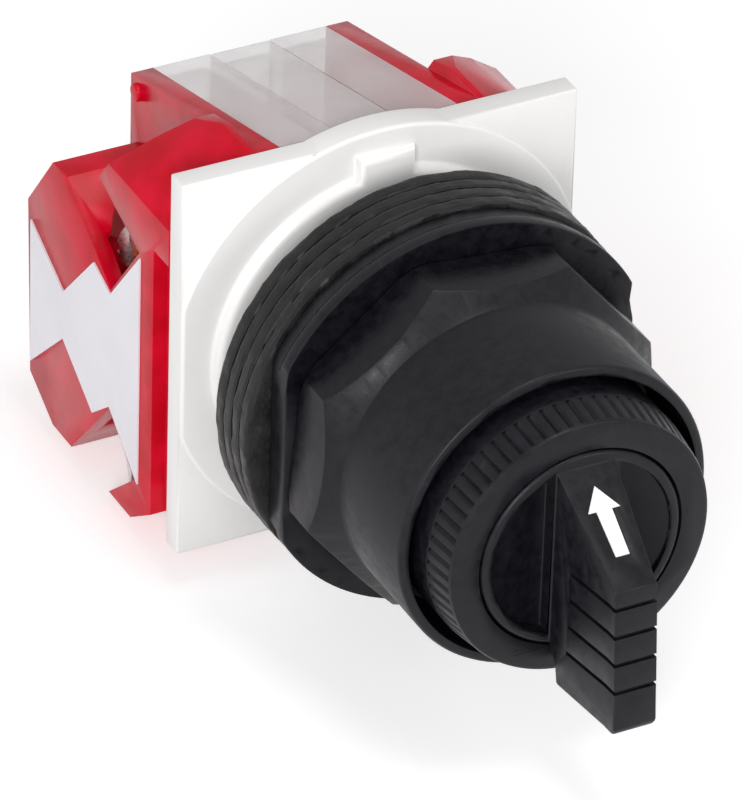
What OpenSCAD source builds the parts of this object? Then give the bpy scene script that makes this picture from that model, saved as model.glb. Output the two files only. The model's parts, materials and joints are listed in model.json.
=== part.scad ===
// Panel selector switch: a black lever operator with a ring nut and shroud, a white base plate,
// and two translucent contact blocks behind it.
// Millimetres. X is to the right as seen from the front, Y points into the panel, Z is up.
// The origin is on the switch axis, at the front face of the base plate. The front faces -Y.

/* [Base plate] */
// Side of the square base plate
plate_side = 44.5; // [44:0.5:50]
// Thickness of the base plate
plate_t = 2.7; // [2.5:0.1:3.5]
// Radius of the round raised face on the plate
face_r = 23.5; // [23:0.1:24]
// How far the raised face stands out of the plate
face_h = 0.45; // [0.2:0.05:0.6]
// Radius of the low collar round the barrel
collar_r = 18.8; // [18:0.1:19.5]
// Height of the collar above the raised face
collar_h = 1.3; // [0.8:0.1:1.6]
// Width of the locating tab at the top of the collar
tab_w = 6.4; // [4:0.1:8]
// Reach of the locating tab from the axis
tab_reach = 21; // [20:0.1:21.5]

/* [Barrel] */
// Radius of the threaded barrel
barrel_r = 14.9; // [14.5:0.1:15]
// Bore of the barrel for the shaft and cam
barrel_bore_r = 11.2; // [11:0.1:11.6]
// Length of the barrel in front of the plate
barrel_len = 30; // [29:0.5:31]
// Radius of the flange at the rear of the barrel
flange_r = 16.4; // [16:0.1:16.6]
// Thickness of that flange
flange_t = 1.4; // [1:0.1:1.6]
// Thickness of the wall that guides the push rods
guide_t = 3.6; // [3:0.1:4]
// Pitch of the thread
thread_pitch = 1.5; // [1:0.25:2]
// Depth of the thread
thread_d = 0.5; // [0.3:0.1:0.8]

/* [Panel gaskets] */
// Width of the gaskets' ring outside the barrel
gasket_w = 7.2; // [6.8:0.1:7.4]
// Thickness of one gasket
gasket_t = 1.76; // [1.5:0.02:1.8]
// Number of gaskets
gasket_count = 4; // [4]
// Gap between the plate and the first gasket, which takes the panel
panel_gap = 7.45; // [7:0.05:8]

/* [Thrust washer] */
// How far the washer's front edge stays inside the gaskets' rim
washer_in = 0.2; // [0:0.1:0.6]
// How much smaller its rear edge is than its front edge
washer_flare = 0.4; // [0.2:0.1:0.8]
// Thickness of the thrust washer
washer_t = 3.5; // [3:0.1:4]
// Distance of its two flats from the axis
washer_flat = 19.35; // [19:0.05:20]
// Depth of the shallow recess in its front
washer_recess = 0.6; // [0.3:0.1:0.8]

/* [Ring nut] */
// Corner radius of the eight-sided nut
nut_corner_r = 20; // [19.5:0.1:20.5]
// Turn of the nut's corners about the axis, in degrees
nut_turn = 17.5; // [0:0.5:22.5]
// Length of the nut's flats from its rear face to the shoulder
nut_len = 7.6; // [7:0.1:8]
// Outer radius of the shroud
shroud_r = 17.1; // [16.9:0.1:17.2]
// Inner radius of the shroud's mouth
mouth_r = 16; // [15.8:0.1:16.1]
// Distance from the nut's rear face to the front of the shroud
shroud_len = 20.2; // [20:0.1:21]
// Depth of the wide mouth
mouth_len = 9.4; // [9:0.1:10]

/* [Bezel] */
// Outer radius of the bezel
bezel_r = 14.85; // [14.6:0.05:15]
// Radius at the front edge of the bezel
bezel_front_r = 14.35; // [14:0.05:14.5]
// Distance from the front of the shroud to the bezel's front face
bezel_proud = 5.6; // [5:0.1:6]
// Radius of the hole for the knob
bezel_hole_r = 11.25; // [11:0.05:11.4]
// Number of knurls round the bezel
knurl_count = 64; // [48:4:72]
// Depth of a knurl
knurl_depth = 0.35; // [0.2:0.05:0.4]
// Length of the knurled band
knurl_len = 4.2; // [3:0.1:4.5]
// Thickness of the rubber seal behind the knob's disc
seal_t = 1.6; // [1:0.1:2]

/* [Knob] */
// Radius of the knob's disc
disc_r = 11; // [10.8:0.05:11.1]
// Thickness of the disc
disc_t = 4.6; // [4:0.1:5]
// How far the lever's crest stands in front of the disc at its upper end
crest_h = 10.9; // [10:0.1:12]
// Extra height of the crest at its lower end
crest_rise = 1.2; // [0.5:0.1:1.5]
// Half width of the crest
crest_w2 = 2.35; // [2.2:0.05:2.6]
// Half width of the lever where it meets the disc
lever_base_w2 = 3.3; // [3:0.1:3.8]
// Height of the upper end of the crest above the axis
crest_top_z = 2.1; // [1.5:0.1:3]
// Reach of the lever below the axis
lever_reach = 14.6; // [14:0.1:15.5]
// Number of grip grooves across the crest
groove_count = 4; // [3:1:4]
// Distance between grip grooves
groove_pitch = 3.15; // [3:0.05:3.2]
// Width of a grip groove
groove_w = 0.45; // [0.3:0.05:0.6]
// Depth of a grip groove
groove_d = 0.4; // [0.2:0.05:0.5]
// Depth of the dished pockets beside the lever
dish_d = 1.8; // [1:0.1:2.2]
// Thickness of the white arrow inlay
arrow_t = 0.4; // [0.3:0.05:0.6]

/* [Shaft and cam] */
// Radius of the shaft
shaft_r = 3.5; // [3:0.1:4]
// Radius of the knob's hub
hub_r = 6; // [5.5:0.1:6.5]
// Length of the hub behind the disc
hub_len = 4; // [3:0.1:5]
// Radius of the face cam
cam_r = 9.6; // [9:0.1:10]
// Thickness of the cam behind its ramp
cam_back_t = 3; // [2:0.1:4]
// Travel of a push rod from the centre to either side
push_travel = 1.5; // [1:0.1:1.8]
// Turn of the knob from the centre to either side, in degrees
knob_turn = 45; // [30:5:45]
// Side of the square end that drives the cam
drive_side = 4.6; // [4:0.1:4.8]
// Radius of the detent wheel
wheel_r = 7.4; // [7:0.1:7.6]
// Thickness of the detent wheel
wheel_t = 4; // [3:0.5:5]
// Distance of the detent in front of the plate
detent_depth = 18; // [17:0.5:20]
// Radius of the detent plunger
detent_r = 1.9; // [1.6:0.1:2]
// Depth of a detent notch
notch_d = 0.8; // [0.5:0.1:1]

/* [Push rods] */
// Distance of the push rods from the axis
rod_x = 6.9; // [6.6:0.1:7.1]
// Radius of a push rod
rod_r = 1.6; // [1.4:0.1:1.8]
// Half width of a plunger
plunger_w2 = 2.2; // [2:0.1:2.3]
// Length of a plunger behind the moving contact
plunger_tail = 4; // [3.5:0.1:4.5]

/* [Contact blocks] */
// Depth of the blocks behind the plate
block_depth = 33.2; // [32:0.1:34]
// Height of the blocks' top above the axis, at the plate
block_top = 22; // [21:0.1:22.2]
// Height of the blocks' top above the axis, at their rear
block_top_rear = 15.2; // [14.5:0.1:16]
// Depth of the blocks' bottom below the axis
block_bottom = 21.5; // [21:0.1:22]
// How far the clear covers end in front of the housings' rear
cover_in = 4.2; // [3.8:0.1:4.6]
// How far the housings' middle sits below the axis, at the plate
block_drop = 4.15; // [4:0.05:4.3]
// Slope of the housings' middle line, lower at the rear, in degrees
lean = 11.6; // [11:0.1:12]
// Distance from the axis to the outer face of the inner wall
rail_x = 12.5; // [12.2:0.1:12.8]
// Thickness of the inner wall
rail_t = 2.5; // [2.2:0.1:2.8]
// Thickness of the outer wall of a housing
cheek_t = 1.8; // [1.4:0.1:2.2]
// Wall of the clear covers
cover_t = 1; // [0.8:0.1:1.2]
// Half width of the centre cover
centre_w2 = 3.4; // [3.2:0.1:3.5]
// Width of the wire slots in the housings
slot_w = 9.6; // [8:0.1:10]
// Slope of the wire slots, in degrees
slot_slope = 43; // [40:1:45]
// Thickness of the label
label_t = 0.2; // [0.1:0.05:0.3]

/* [Contacts] */
// Radius of a terminal screw
terminal_screw_r = 1.6; // [1.4:0.1:1.8]
// Radius of a terminal screw's head
terminal_head_r = 3; // [2.8:0.1:3.2]
// Thickness of the contact strips
strip_t = 1; // [0.8:0.1:1.2]
// Width of the contact strips
strip_w = 3.6; // [3:0.1:4]
// Thickness of the wire clamps
clamp_t = 1.2; // [1:0.1:1.5]
// Half width of the terminal plates
plate_w2 = 2.6; // [2.4:0.1:2.8]
// Half height of the terminal plates
plate_h2 = 3; // [2.8:0.1:3.2]
// Distance of the terminal screws from the outer face of a block
terminal_in_x = 5.6; // [5.4:0.1:6]
// Height of the terminal screws above the middle of a block
terminal_z = 9.4; // [9:0.1:9.8]
// Distance of the contact strips behind the front of a block
terminal_in = 13.2; // [12.8:0.1:13.6]
// Radius of a contact button
button_r = 1.1; // [0.9:0.1:1.3]
// Height of a contact button
button_h = 0.5; // [0.4:0.05:0.6]
// Distance of the contact buttons from the axis
button_z = 6.6; // [6.2:0.1:6.8]
// Half width of a moving contact
bridge_w2 = 1.4; // [1.2:0.1:1.5]
// Thickness of a moving contact
bridge_t = 0.8; // [0.6:0.1:1]
// Free play of a moving contact in its window
bridge_play = 1.1; // [0.8:0.1:1.4]

/* [Block screws] */
// Radius of a block screw
block_screw_r = 1.5; // [1.3:0.1:1.7]
// Radius of a block screw's head
screw_head_r = 2.4; // [2.2:0.1:2.6]
// Height of a block screw's head
screw_head_t = 1.8; // [1.5:0.1:2]
// Distance of the block screws from the outer face of a block
screw_in_x = 4.1; // [4:0.1:4.2]
// Distance of the block screws from the middle of a block, up and down
screw_z = 3; // [2.8:0.1:3.2]
// Grip of a block screw in the base plate
screw_grip = 2; // [1.5:0.1:2.2]
// Depth of a block screw's head below the rear face
screw_sink = 7; // [6:0.5:8]

/* [Hidden] */
$fn = 96;
fit = 0.05;
seat = 0.3;

// Places along Y, from the plate to the front
gasket_r = barrel_r + gasket_w;
washer_front_r = gasket_r - washer_in;
washer_r = washer_front_r - washer_flare;
gasket_front = -(panel_gap + gasket_count * gasket_t);
washer_rear = gasket_front - 0.05;
washer_front = washer_rear - washer_t;
nut_rear = washer_front;
nut_shoulder = nut_rear - nut_len;
shroud_front = nut_rear - shroud_len;
bezel_front = shroud_front - bezel_proud;
disc_front = bezel_front - 0.25;
disc_rear = disc_front + disc_t;
hub_rear = disc_rear + hub_len;
barrel_front = -barrel_len;
bearing_front = hub_rear + seat;
detent_y = -detent_depth;
detent_bore_r = detent_r + seat;
crest_y = disc_front - crest_h;
crest_low_y = crest_y - crest_rise;

// Places along Y behind the front of the plate
block_front = plate_t + seat;
block_rear = block_front + block_depth;
guide_front = plate_t - guide_t;
cam_rear = guide_front - push_travel - 2 * seat;
cam_mid = cam_rear - push_travel;
cam_front = cam_mid - push_travel - cam_back_t;
cover_rear = block_rear - cover_in;
block_w2 = plate_side / 2 - fit;
terminal_x = block_w2 - terminal_in_x;
screw_x = block_w2 - screw_in_x;
terminal_y = block_front + terminal_in;
middle_z = -block_drop - terminal_in * tan(lean);
bridge_y = terminal_y + strip_t + 2 * button_h + push_travel + fit;
plunger_front = block_front + cover_t + push_travel + seat;
plunger_rear = bridge_y + plunger_tail;
screw_head_y = block_rear - screw_sink;

// Turns children so that a shape drawn in X and Y is extruded along -Y, with its Y upward
module along_y(from, to) {
    translate([0, to, 0]) rotate([90, 0, 0]) linear_extrude(to - from) children();
}

// Turns a profile of [radius, y] points about the switch axis
module turned(points) {
    rotate([-90, 0, 0]) rotate_extrude() polygon(points);
}

// Extrudes a profile of [y, z] points along X between two planes
module along_x(from, to) {
    translate([from, 0, 0]) rotate([90, 0, 90]) linear_extrude(to - from) children();
}

// A plain rod or hole along Y
module rod_y(radius, from, to, x = 0, z = 0) {
    translate([x, to, z]) rotate([90, 0, 0]) cylinder(r = radius, h = to - from);
}

// Base plate: the square, its round raised face, the collar with its tab and the barrel hole
module base_plate() {
    color("white") difference() {
        union() {
            along_y(0, plate_t) square(plate_side, center = true);
            along_y(-face_h, plate_t) intersection() {
                circle(r = face_r);
                square([plate_side, 2 * face_r], center = true);
            }
            rod_y(collar_r, -face_h - collar_h, plate_t);
            along_y(-face_h - collar_h, 0) translate([-tab_w / 2, 0]) square([tab_w, tab_reach]);
        }
        rod_y(barrel_r + fit, -face_h - collar_h - 1, plate_t + 1);
        rod_y(flange_r + fit, plate_t - flange_t, plate_t + 1);
        for (x = [-1, 1], z = [-1, 1])
            rod_y(block_screw_r + fit, plate_t - screw_grip, plate_t + 1, x * screw_x, z * screw_z + middle_z);
    }
}

// Barrel: the threaded tube, its flange and the wall that guides the push rods
module barrel() {
    color("dimgray") difference() {
        union() {
            rod_y(barrel_r, barrel_front, plate_t);
            rod_y(flange_r, plate_t - flange_t, plate_t);
        }
        rod_y(barrel_bore_r, barrel_front - 1, guide_front);
        for (x = [-1, 1]) rod_y(rod_r + fit, guide_front - 1, plate_t + 1, x * rod_x);
        translate([0, detent_y, 0]) cylinder(r = detent_bore_r, h = barrel_r + 1);
        thread_grooves();
    }
}

// Shallow V grooves along the barrel, which stand for its thread
module thread_grooves() {
    first = barrel_front + 1;
    for (y = [first : thread_pitch : -face_h - collar_h - thread_pitch])
        turned([[barrel_r - thread_d, y], [barrel_r + 0.2, y - 0.5], [barrel_r + 0.2, y + 0.5]]);
}

// One gasket: a flat ring with slightly eased edges
module gasket(i) {
    rear = -panel_gap - i * gasket_t;
    front = rear - gasket_t;
    ease = 0.2;
    color("black") turned([
        [barrel_r + seat, rear], [gasket_r - ease, rear], [gasket_r, rear - ease],
        [gasket_r, front + ease], [gasket_r - ease, front], [barrel_r + seat, front]
    ]);
}

// Thrust washer: flared ring with two flats and a shallow front recess
module thrust_washer() {
    recess_r = nut_corner_r + 0.5;
    color("dimgray") intersection() {
        turned([
            [barrel_r + seat, washer_rear], [washer_r, washer_rear], [washer_r, washer_rear - washer_t * 0.45],
            [washer_front_r, washer_rear - washer_t * 0.6], [washer_front_r, washer_front - 0.1],
            [recess_r, washer_front + washer_recess - 0.2], [barrel_r + seat, washer_front]
        ]);
        along_y(washer_front - 2, washer_rear + 1) square([2 * washer_flat, 2 * gasket_r], center = true);
    }
}

// Ring nut: eight flats with a coned shoulder, and the tall shroud in one piece
module ring_nut() {
    cone_out = nut_corner_r + 0.3;
    edge = 0.5;
    thread_r = barrel_r + fit;
    color("dimgray") difference() {
        union() {
            intersection() {
                along_y(nut_shoulder - 1, nut_rear) rotate(nut_turn) circle(r = nut_corner_r, $fn = 8);
                turned([
                    [0, nut_rear], [nut_corner_r - 0.6, nut_rear], [cone_out, nut_rear - 0.9],
                    [cone_out, nut_shoulder + 3.2], [shroud_r - 0.4, nut_shoulder - 0.5], [0, nut_shoulder - 0.5]
                ]);
            }
            turned([
                [0, nut_rear], [shroud_r, nut_rear], [shroud_r, shroud_front + edge],
                [shroud_r - edge * 0.3, shroud_front + edge * 0.3], [shroud_r - edge, shroud_front],
                [0, shroud_front]
            ]);
        }
        rod_y(thread_r, barrel_front - 0.6, nut_rear + 1);
        rod_y(mouth_r, shroud_front - 1, shroud_front + mouth_len);
    }
}

// Bezel: ring round the knob with a knurled edge; its rear wall is the shaft's bearing, on the barrel's front
module bezel() {
    nose = 0.5;
    taper = atan2(bezel_r - bezel_front_r, knurl_len - nose);
    color("dimgray") difference() {
        turned([
            [bezel_hole_r, bezel_front], [bezel_front_r - nose, bezel_front],
            [bezel_front_r - nose * 0.3, bezel_front + nose * 0.3], [bezel_front_r, bezel_front + nose],
            [bezel_r, bezel_front + knurl_len], [bezel_r, barrel_front],
            [shaft_r + fit, barrel_front], [shaft_r + fit, bearing_front], [bezel_hole_r, bearing_front]
        ]);
        for (i = [0 : knurl_count - 1]) rotate([0, i * 360 / knurl_count, 0])
            translate([bezel_front_r - knurl_depth, bezel_front + nose, 0]) rotate([0, 0, -taper])
                rotate([-90, 0, 0]) knurl_cut();
    }
}

// One V groove of the knurled band
module knurl_cut() {
    linear_extrude(knurl_len - 0.6) rotate(-45) square(2 * knurl_depth);
}

// Rubber seal round the knob's hub, on the rear wall of the bezel
module knob_seal() {
    seal_front = bearing_front - seal_t;
    color("black") turned([
        [hub_r + seat, seal_front], [bezel_hole_r - fit, seal_front], [bezel_hole_r - fit, bearing_front],
        [hub_r + seat, bearing_front]
    ]);
}

// Lever outline, seen from the side as [y, z] points
function lever_side() = [
    [disc_front + 0.6, disc_r - 0.9], [crest_y, crest_top_z], [crest_low_y, -lever_reach + 1],
    [crest_low_y + 0.5, -lever_reach + 0.35], [disc_front - 1.4, -lever_reach],
    [disc_front - 0.9, -lever_reach + 2.6], [disc_front + 0.6, -disc_r + 1.2]
];

// Knob: disc with dished pockets, hub, and a wedge lever with grip grooves
module knob() {
    color("dimgray") difference() {
        union() {
            knob_disc();
            knob_lever();
        }
        for (i = [0 : groove_count - 1]) grip_groove(crest_top_z - 1.9 - i * groove_pitch);
        arrow_body(arrow_t);
        shaft_socket(shaft_r);
    }
}

// Disc and hub with the two pockets
module knob_disc() {
    difference() {
        union() {
            turned([
                [0, disc_front], [disc_r - 0.3, disc_front], [disc_r, disc_front + 0.3], [disc_r, disc_rear],
                [0, disc_rear]
            ]);
            rod_y(hub_r, disc_rear - 1, hub_rear);
        }
        for (s = [-1, 1]) mirror([s < 0 ? 1 : 0, 0, 0]) dish();
    }
}

// One pocket beside the lever, deepest next to it
module dish() {
    intersection() {
        along_y(disc_front - 1, disc_front + dish_d + 1) difference() {
            circle(r = disc_r - 1.1);
            translate([-20, -20]) square([20 + lever_base_w2, 40]);
        }
        along_z(-disc_r, disc_r) polygon([
            [lever_base_w2 - 1, disc_front - 2], [lever_base_w2 - 1, disc_front + dish_d],
            [lever_base_w2 + 1.4, disc_front + dish_d], [disc_r, disc_front - 0.1], [disc_r, disc_front - 2]
        ]);
    }
}

// Extrudes a profile of [x, y] points along Z
module along_z(from, to) {
    translate([0, 0, from]) linear_extrude(to - from) children();
}

// Wedge lever: the side outline cut to the width of the crest and flared to the disc
module knob_lever() {
    flank = disc_front + 0.5;
    intersection() {
        along_x(-8, 8) polygon(lever_side());
        along_z(-lever_reach - 1, disc_r) polygon([
            [-crest_w2, crest_low_y - 1], [crest_w2, crest_low_y - 1], [crest_w2, crest_y + 1],
            [lever_base_w2, flank + 1], [-lever_base_w2, flank + 1], [-crest_w2, crest_y + 1]
        ]);
    }
}

// One grip groove across the crest and down both flanks
module grip_groove(z) {
    slope = 3.5;
    translate([0, crest_y, z]) rotate([-slope, 0, 0]) difference() {
        translate([-6, -4, -groove_w / 2]) cube([12, 12, groove_w]);
        translate([-crest_w2 + groove_d, -crest_rise * (crest_top_z - z) / 16 + groove_d, -1])
            cube([2 * (crest_w2 - groove_d), 20, 2]);
        translate([-10, 8.2, -1]) cube([20, 20, 2]);
    }
}

// Arrow outline as seen from the front, tip upward, centred on the slope
function arrow_points() = [
    [0, 4.1], [1.75, 1.5], [0.85, 1.5], [0.75, -3.4], [-0.75, -3.4], [-0.85, 1.5], [-1.75, 1.5]
];

// The arrow inlay, let into the slope of the lever
module arrow_body(depth) {
    low = [crest_y, crest_top_z];
    high = [disc_front + 0.6, disc_r - 0.9];
    mid = (low + high) / 2;
    angle = atan2(high[0] - low[0], high[1] - low[1]);
    translate([0, mid[0], mid[1]]) rotate([-angle, 0, 0]) rotate([90, 0, 0])
        translate([0, 0, -depth]) linear_extrude(depth + 0.02) polygon(arrow_points());
}

module pointer_arrow() {
    color("white") arrow_body(arrow_t);
}

// Flattened hole for the shaft in the back of the hub
module shaft_socket(radius) {
    intersection() {
        rod_y(radius, disc_rear - 1.5, hub_rear + 1);
        translate([-2 * shaft_r, disc_rear - 3, -radius * 0.7]) cube([4 * shaft_r, hub_len + 6, 4 * shaft_r]);
    }
}

// Shaft: spigot in the knob, journal, detent wheel and square drive for the cam
module shaft() {
    color("silver") difference() {
        union() {
            shaft_spigot();
            rod_y(shaft_r, hub_rear, cam_front);
            rod_y(wheel_r, detent_y - wheel_t / 2, detent_y + wheel_t / 2);
            along_y(cam_front - 1, cam_mid - push_travel) square(drive_side, center = true);
        }
        for (a = [-knob_turn, 0, knob_turn]) rotate([0, a, 0])
            translate([0, detent_y - wheel_t, wheel_r + detent_r - notch_d]) rotate([-90, 0, 0])
                cylinder(r = detent_r + 0.1, h = 2 * wheel_t);
    }
}

// The flattened end of the shaft, which sits in the knob
module shaft_spigot() {
    intersection() {
        rod_y(shaft_r - fit, disc_rear - 1.3, hub_rear + 0.5);
        translate([-2 * shaft_r, disc_rear - 3, -shaft_r * 0.7 + fit])
            cube([4 * shaft_r, hub_len + 6, 4 * shaft_r]);
    }
}

// Face cam: two helical ramps, so that one push rod advances while the other goes back
module face_cam() {
    lowest = cam_mid - push_travel * cam_r / rod_x - 0.3;
    color("ivory") difference() {
        union() {
            rod_y(cam_r, cam_front, lowest);
            cam_ramp();
        }
        along_y(cam_front - 1, cam_rear + 1) square(drive_side + 2 * fit, center = true);
    }
}

// Height of the ramp at the push rods' radius, at an angle from the right side: linear over the rods' travel
function ramp_rise(a) = push_travel * max(-1, min(1, a / knob_turn));
function folded(a) = a <= 90 ? a : a >= 270 ? a - 360 : 180 - a;

// The helical face: a fan of facets from the middle of the face to its rim
module cam_ramp() {
    steps = 72;
    base = cam_mid - push_travel - 1.6;
    rim = cam_r - 0.25;
    spread = rim / rod_x;
    angles = [for (i = [0 : steps - 1]) i * 360 / steps];
    points = concat(
        [[0, base, 0]],
        [for (a = angles) [rim * cos(a), base, rim * sin(a)]],
        [for (a = angles) [rim * cos(a), cam_mid - spread * ramp_rise(folded(a)), rim * sin(a)]],
        [[0, cam_mid, 0]]
    );
    last = 2 * steps + 1;
    faces = [for (i = [0 : steps - 1])
        let (j = (i + 1) % steps, low = 1 + i, low_next = 1 + j, top = 1 + steps + i, top_next = 1 + steps + j)
        each [[0, low_next, low], [low, low_next, top_next], [low, top_next, top], [last, top, top_next]]];
    polyhedron(points, faces, convexity = 6);
}

// Detent plunger: a round nosed pin in the barrel's radial bore
module detent_plunger() {
    nose_z = wheel_r + 0.1;
    color("silver") translate([0, detent_y, 0]) {
        translate([0, 0, nose_z + detent_r]) cylinder(r = detent_r, h = 1.2);
        translate([0, 0, nose_z + detent_r]) sphere(r = detent_r);
    }
}

// Detent spring: a short wire coil that presses on the plunger
module detent_spring() {
    from = wheel_r + 0.1 + detent_r + 1.25;
    color("silver") translate([0, detent_y, from]) coil(1.45, 0.3, barrel_r - 0.2 - from, 3);
}

// A compression coil about Z as a stack of rings joined by its turns
module coil(radius, wire, length, turns) {
    ring_n = 20;
    sides = 8;
    total = ring_n * turns;
    function centre(i) = [radius * cos(i * 360 / ring_n), radius * sin(i * 360 / ring_n),
        wire + (length - 2 * wire) * i / total];
    function ring(i) = [for (k = [0 : sides - 1])
        let (a = i * 360 / ring_n, q = k * 360 / sides, r = radius + wire * cos(q))
        [r * cos(a), r * sin(a), centre(i)[2] + wire * sin(q)]];
    points = [for (i = [0 : total]) each ring(i)];
    last = total * sides;
    faces = concat(
        [[for (k = [0 : sides - 1]) k]],
        [for (i = [0 : total - 1], k = [0 : sides - 1])
            let (a = i * sides, b = a + sides, m = (k + 1) % sides) [a + k, b + k, b + m, a + m]],
        [[for (k = [sides - 1 : -1 : 0]) last + k]]
    );
    polyhedron(points, faces, convexity = 8);
}

// Push rod between the cam and a contact block's plunger
module follower(s) {
    tip = cam_mid + rod_r + seat;
    color("ivory") {
        rod_y(rod_r, tip, plunger_front, s * rod_x);
        translate([s * rod_x, tip, 0]) sphere(r = rod_r);
    }
}

// Side outline of a housing, as [depth, height] points from its middle line: the upper half and the lower half
function slot_dir() = [cos(slot_slope), sin(slot_slope)];
function slot_foot() = [6.7, 14.3];
function slot_heel() = slot_foot() + [slot_dir()[1], -slot_dir()[0]] * slot_w;
function upper_half() = [
    [0, block_top + block_drop], [6.4, 27.4], [9.9, 27.2], [14.9, 21.3], [16.2, 19.9], slot_foot(), slot_heel(),
    slot_heel() + slot_dir() * 14.4, [27.2, 17.6], [block_depth, 11]
];
function lower_half() = [
    [0, block_bottom - block_drop - 2.5], [10.8, 20], [14.3, 18.3], slot_foot() + [0.6, -0.6], slot_heel(),
    slot_heel() + slot_dir() * 12.6, [25, 16.4], [block_depth - 0.6, 10.2]
];

// Puts both halves together and lets the middle line fall towards the rear
function leaned(upper, lower) = let (slope = tan(lean))
    [for (p = concat(upper, [for (i = [len(lower) - 1 : -1 : 0]) [lower[i][0], -lower[i][1]]]))
        [block_front + p[0], p[1] - block_drop - p[0] * slope]];

module housing_outline() {
    polygon(leaned(upper_half(), lower_half()));
}

// Outline of the inner wall and of the clear covers: the top falls to the rear, the bottom is level
module rail_outline(inset = 0) {
    fall = (block_top - block_top_rear) / (cover_rear - block_front);
    front = block_front + inset;
    rear = cover_rear - inset;
    polygon([
        [front, inset - block_bottom], [front, block_top - inset * (1 + fall)],
        [rear, block_top_rear - inset * (1 - fall)], [rear, inset - block_bottom]
    ]);
}

// Terminal housing: inner wall, outer wall and the branches between them, cut by the wire slots
module housing(s) {
    color("crimson") mirror([s < 0 ? 1 : 0, 0, 0]) difference() {
        union() {
            along_x(rail_x - rail_t, rail_x) rail_outline();
            intersection() {
                along_x(rail_x, block_w2) housing_outline();
                along_y(block_front, block_rear) branch_section();
            }
        }
        for (z = [-1, 1]) translate([0, 0, middle_z]) mirror([0, 0, z < 0 ? 1 : 0]) housing_cuts();
    }
}

// Front view of the branches: the upper outer corner is cut back, the lower one a little
module branch_section() {
    polygon([
        [rail_x - 1, -block_bottom - 6], [block_w2 - 2, -block_bottom - 6], [block_w2, -block_bottom - 3],
        [block_w2, 15.2], [block_w2 - 4.6, 19.2], [rail_x + 0.6, block_top], [rail_x - 1, block_top]
    ]);
}

// Room for the terminal, its screw and the contact strip in the upper half of a housing
module housing_cuts() {
    rod_y(terminal_head_r + 0.4, terminal_y + strip_t + clamp_t, block_rear + 1, terminal_x, terminal_z);
    rod_y(terminal_screw_r + 2 * fit, block_front + 3, terminal_y + 1, terminal_x, terminal_z);
    translate([rail_x - rail_t - 1, terminal_y - 2 * fit, terminal_z - plate_h2 - 1.5])
        cube([block_w2 - rail_x - cheek_t + rail_t + 1, strip_t + clamp_t + 3, 2 * plate_h2 + 3]);
    rod_y(block_screw_r + 2 * fit, block_front - 1, block_rear + 1, screw_x, screw_z);
    rod_y(screw_head_r + 4 * fit, screw_head_y, block_rear + 1, screw_x, screw_z);
}

// Clear cover of one block: a box open towards the red inner wall
module cover(s) {
    from = centre_w2 + 0.1;
    to = rail_x - rail_t - 0.02;
    color([0.85, 0.9, 0.95, 0.5]) mirror([s < 0 ? 1 : 0, 0, 0]) difference() {
        along_x(from, to) rail_outline();
        along_x(from + cover_t, to + 1) rail_outline(cover_t);
        rod_y(rod_r + 0.9, block_front - 1, block_front + cover_t + 1, rod_x);
    }
}

// Clear cover between the blocks: a channel open at both sides
module centre_cover() {
    color([0.85, 0.9, 0.95, 0.5]) difference() {
        along_x(-centre_w2, centre_w2) rail_outline();
        along_x(-centre_w2 - 1, centre_w2 + 1) rail_outline(cover_t);
    }
}

// Label on the outer wall of the left housing: its half outline, cut to the wire slots
function label_half() = [
    slot_foot() + [-0.4, -0.5], slot_heel() + [-0.2, -0.4], slot_heel() + [3.8, 2],
    slot_heel() + [11, -4.4], [block_depth - 1, 8.8]
];

module side_label() {
    color("white") along_x(-block_w2 - label_t, -block_w2) polygon(leaned(label_half(), label_half()));
}

// Plunger: slides in the cover and carries the moving contact in a window
module plunger(s) {
    color("ivory") translate([s * rod_x, 0, 0]) difference() {
        along_y_box(plunger_w2, plunger_w2, plunger_front, plunger_rear);
        along_y_box(bridge_w2 + fit, plunger_w2 + 1, bridge_y, bridge_y + bridge_t + bridge_play);
    }
}

// A box about the Y axis between two planes, by half sizes in X and Z
module along_y_box(hx, hz, from, to) {
    translate([-hx, from, -hz]) cube([2 * hx, to - from, 2 * hz]);
}

// Moving contact: a bar with two raised contact faces
module bridge(s) {
    reach = button_z + 2 * button_r;
    color("gold") translate([s * rod_x, 0, 0]) {
        along_y_box(bridge_w2, reach, bridge_y, bridge_y + bridge_t);
        for (z = [-1, 1]) rod_y(button_r, bridge_y - button_h, bridge_y + bridge_t / 2, 0, z * button_z);
    }
}

// Return spring behind a plunger
module return_spring(s) {
    front = plunger_rear + 0.05;
    rear = cover_rear - cover_t - 0.1;
    color("silver") translate([s * rod_x, front, 0]) rotate([-90, 0, 0]) coil(1.5, 0.3, rear - front, 5);
}

// Fixed contact: terminal plate outside the inner wall, and a strip to the button inside the cover
module fixed_contact(s, z) {
    inner = rod_x - bridge_w2;
    tz = terminal_z + z * middle_z;
    bar_z = max(tz, plunger_w2 + seat + strip_w / 2);
    low = min(bar_z - strip_w / 2, button_z - bridge_w2);
    high = max(bar_z + strip_w / 2, button_z + bridge_w2);
    color("gold") mirror([s < 0 ? 1 : 0, 0, 0]) mirror([0, 0, z < 0 ? 1 : 0]) difference() {
        union() {
            translate([inner, terminal_y, bar_z - strip_w / 2])
                cube([terminal_x + plate_w2 - inner, strip_t, strip_w]);
            translate([inner, terminal_y, low]) cube([2 * bridge_w2, strip_t, high - low]);
            rod_y(button_r, terminal_y + strip_t / 2, terminal_y + strip_t + button_h, rod_x, button_z);
            translate([terminal_x - plate_w2, terminal_y, tz - plate_h2]) cube([2 * plate_w2, strip_t, 2 * plate_h2]);
        }
        rod_y(terminal_screw_r + 2 * fit, terminal_y - 1, terminal_y + strip_t + 1, terminal_x, tz);
    }
}

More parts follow.
